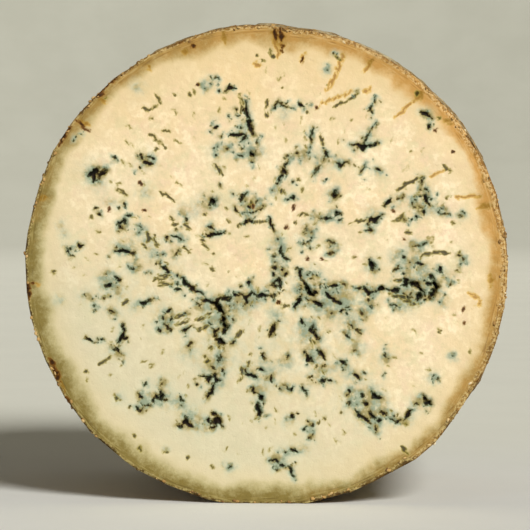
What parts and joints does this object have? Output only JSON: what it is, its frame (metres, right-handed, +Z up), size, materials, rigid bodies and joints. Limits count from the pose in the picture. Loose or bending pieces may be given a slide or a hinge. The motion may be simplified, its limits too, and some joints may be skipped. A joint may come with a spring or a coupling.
{
  "type": "half stilton cheese",
  "caption": "Half of a drum-shaped blue cheese, cut straight across: a round, blue-veined cream cut face in a thin rough brown rind, lying on its curved side.",
  "frame": {"origin": "on the ground under the middle of the cheese", "axes": "+Z up, +Y along the drum's axis from the cut face to the natural end, +X to the right as the cut face is seen"},
  "size_m": [0.2022, 0.1266, 0.1997],
  "materials": {
    "cheese": "moist cream paste with dark blue-green veins, in a dry, rough brown rind"
  },
  "bodies": {
    "root": {"cheese": "cheese"}
  },
  "joints": []
}
